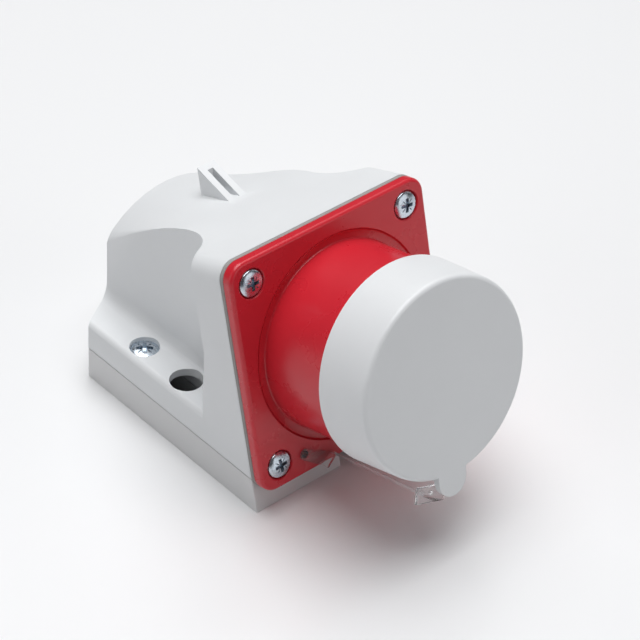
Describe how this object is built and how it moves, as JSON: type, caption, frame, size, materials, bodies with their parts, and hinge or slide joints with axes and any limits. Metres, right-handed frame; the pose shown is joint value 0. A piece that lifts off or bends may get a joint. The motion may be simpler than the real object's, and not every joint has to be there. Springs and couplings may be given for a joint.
{
  "type": "wall-mounted industrial plug",
  "caption": "Wall-mounted industrial plug: round shrouded pin inlet with a push-on cap, on a square flange and a sloping hooded housing.",
  "frame": {"origin": "centre of the wall plate's footprint on the wall plane", "axes": "+Z out of the wall, +X across the width, -Y the side that the inlet points to"},
  "size_m": [0.075, 0.1396, 0.0863],
  "materials": {
    "grey_housing": "satin moulded, light grey",
    "grey_plate": "satin moulded, light grey",
    "red_plastic": "glossy moulded",
    "cap_plastic": "satin moulded, white grey",
    "clear_strap": "clear flexible",
    "zinc_steel": "zinc plated",
    "terminal_steel": "plated",
    "pin_brass": "turned, bright",
    "insert_plastic": "satin moulded, dark grey",
    "clamp_plastic": "satin moulded",
    "seal_rubber": "matt",
    "gasket_foam": "matt foam"
  },
  "bodies": {
    "housing": {"base_plate": "grey_plate", "base_seal": "seal_rubber", "housing_cover": "grey_housing", "cover_screws": "zinc_steel", "flange_gasket": "gasket_foam", "inlet_body": "red_plastic", "flange_screws": "zinc_steel", "contact_insert": "insert_plastic", "phase_pin_1": "pin_brass", "phase_pin_2": "pin_brass", "phase_pin_3": "pin_brass", "neutral_pin": "pin_brass", "earth_pin": "pin_brass", "terminal_screws": "terminal_steel", "insert_backplate": "insert_plastic", "insert_screws": "terminal_steel", "cable_grommet": "seal_rubber", "cable_clamp": "clamp_plastic", "cable_clamp_screws": "zinc_steel", "cap_tether": "clear_strap"},
    "cap": {"protective_cap": "cap_plastic"}
  },
  "joints": [
    {"name": "cap_pull", "type": "slide", "parent": "housing", "child": "cap", "axis": [0, -0.9659, 0.2588], "range_m": [0, 0.03], "deforming": ["cap_tether"]}
  ]
}
